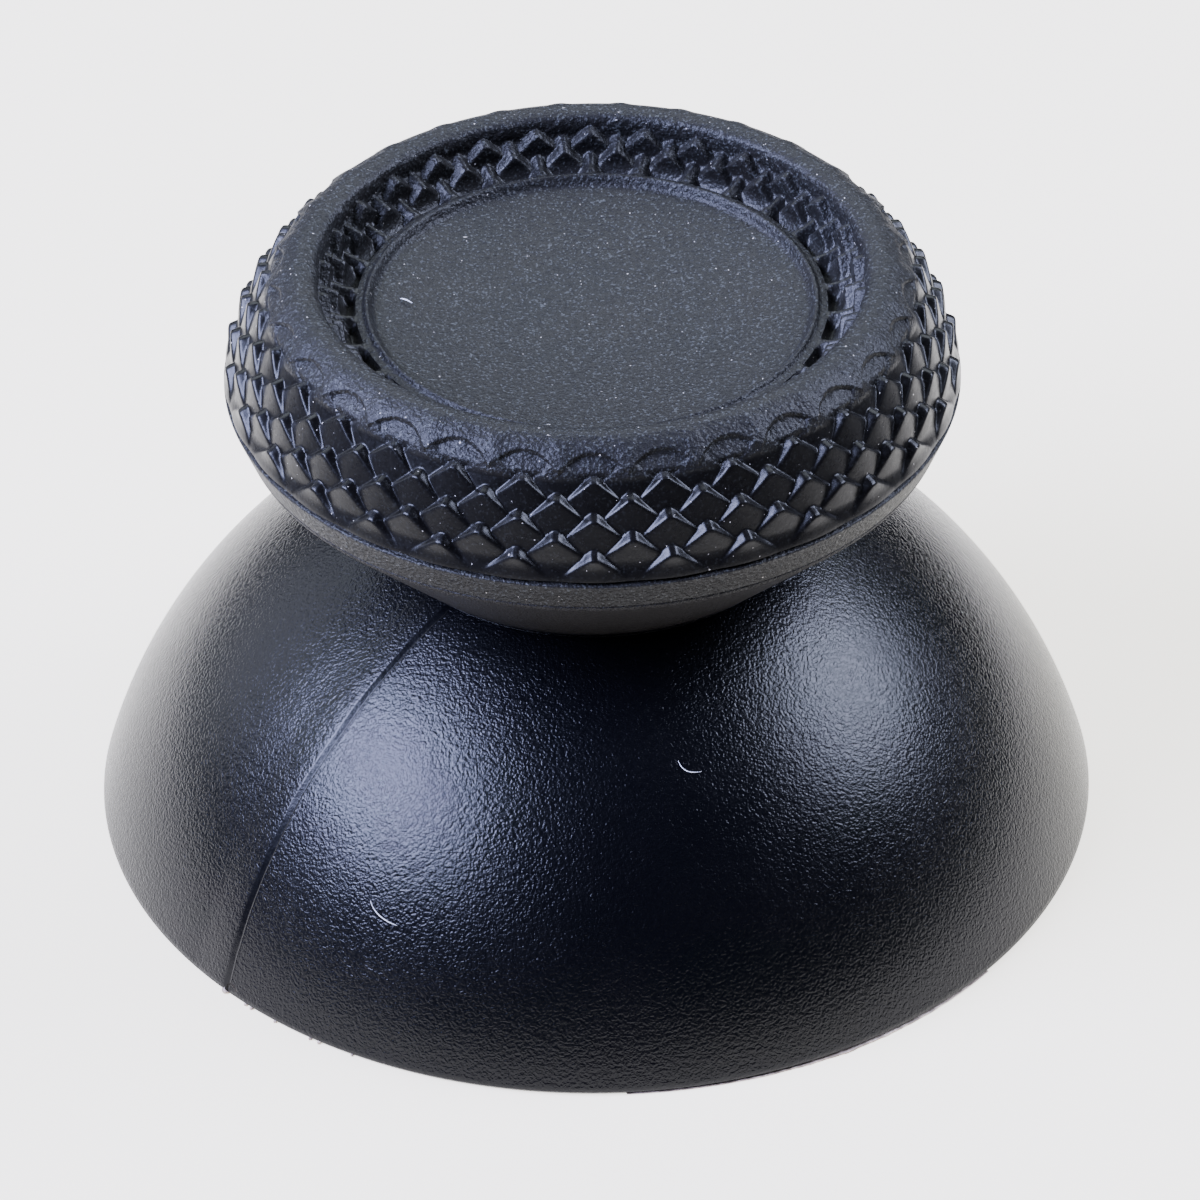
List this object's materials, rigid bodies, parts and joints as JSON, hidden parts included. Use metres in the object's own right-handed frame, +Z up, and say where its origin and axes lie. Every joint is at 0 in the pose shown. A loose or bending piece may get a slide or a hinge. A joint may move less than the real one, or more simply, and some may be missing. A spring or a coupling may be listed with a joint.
{
  "type": "thumbstick cap",
  "caption": "Thumbstick cap for a game controller: a hollow hard dome with a keyed socket, and a soft dished grip with a knurled ring moulded over its flared seat.",
  "frame": {"origin": "centre of the flat rim under the dome", "axes": "+Z up out of the grip, along the stick's own axis; the front, seen first, faces -Y; the flats of the shaft's socket face +X and -X"},
  "size_m": [0.025, 0.025, 0.0155],
  "materials": {
    "hard_plastic": "satin, fine moulded grain",
    "soft_rubber": "matte, faintly dusty"
  },
  "bodies": {
    "root": {"dome_and_stem": "hard_plastic", "rubber_grip": "soft_rubber"}
  },
  "joints": []
}
